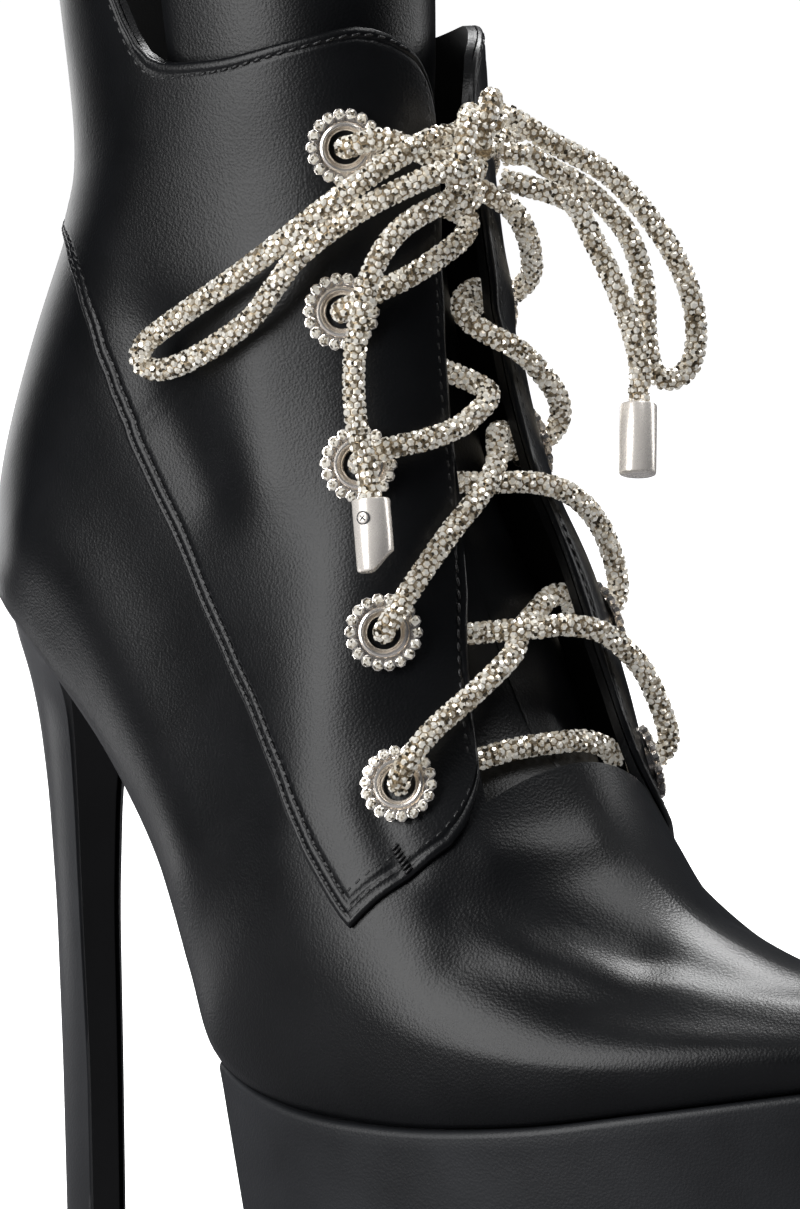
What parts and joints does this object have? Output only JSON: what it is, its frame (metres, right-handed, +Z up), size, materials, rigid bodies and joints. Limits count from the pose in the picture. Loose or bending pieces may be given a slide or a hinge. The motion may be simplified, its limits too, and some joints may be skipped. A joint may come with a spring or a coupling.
{
  "type": "platform stiletto bootie",
  "caption": "Pointed black leather ankle boot for the right foot with a tall platform, stiletto heel, stone-set eyelets and a sparkling rope lace tied in a bow.",
  "frame": {"origin": "middle of the bounding box in plan, on the floor plane under the tread and the heel tip, measured without the bow", "axes": "+X towards the toe, +Y towards the medial side (left of the wearer), +Z up"},
  "size_m": [0.2542, 0.0904, 0.3068],
  "materials": {
    "leather": "satin, fine grain",
    "lining": "matt",
    "sole": "matt",
    "heel_gloss": "gloss",
    "metal": "polished",
    "stone_lace": "faceted clear stones on a pale net rope"
  },
  "bodies": {
    "root": {"upper": "leather", "quarter_lateral": "leather", "quarter_medial": "leather", "tongue": "leather", "platform": "leather", "insole": "lining", "tread": "sole", "waist_cover": "sole", "heel_tip": "sole", "heel": "heel_gloss", "eyelet_lateral_1": "metal", "eyelet_lateral_2": "metal", "eyelet_lateral_3": "metal", "eyelet_lateral_4": "metal", "eyelet_lateral_5": "metal", "eyelet_medial_1": "metal", "eyelet_medial_2": "metal", "eyelet_medial_3": "metal", "eyelet_medial_4": "metal", "eyelet_medial_5": "metal", "aglet_lateral": "metal", "aglet_medial": "metal", "lace_bar": "stone_lace", "lace_cross_low": "stone_lace", "lace_cross_high": "stone_lace", "lace_turn_lateral_low": "stone_lace", "lace_turn_medial_low": "stone_lace", "lace_turn_lateral_high": "stone_lace", "lace_turn_medial_high": "stone_lace", "lace_lead_lateral": "stone_lace", "lace_lead_medial": "stone_lace", "lace_knot": "stone_lace", "lace_loop_lateral": "stone_lace", "lace_loop_medial": "stone_lace", "lace_end_lateral": "stone_lace", "lace_end_medial": "stone_lace"}
  },
  "joints": []
}
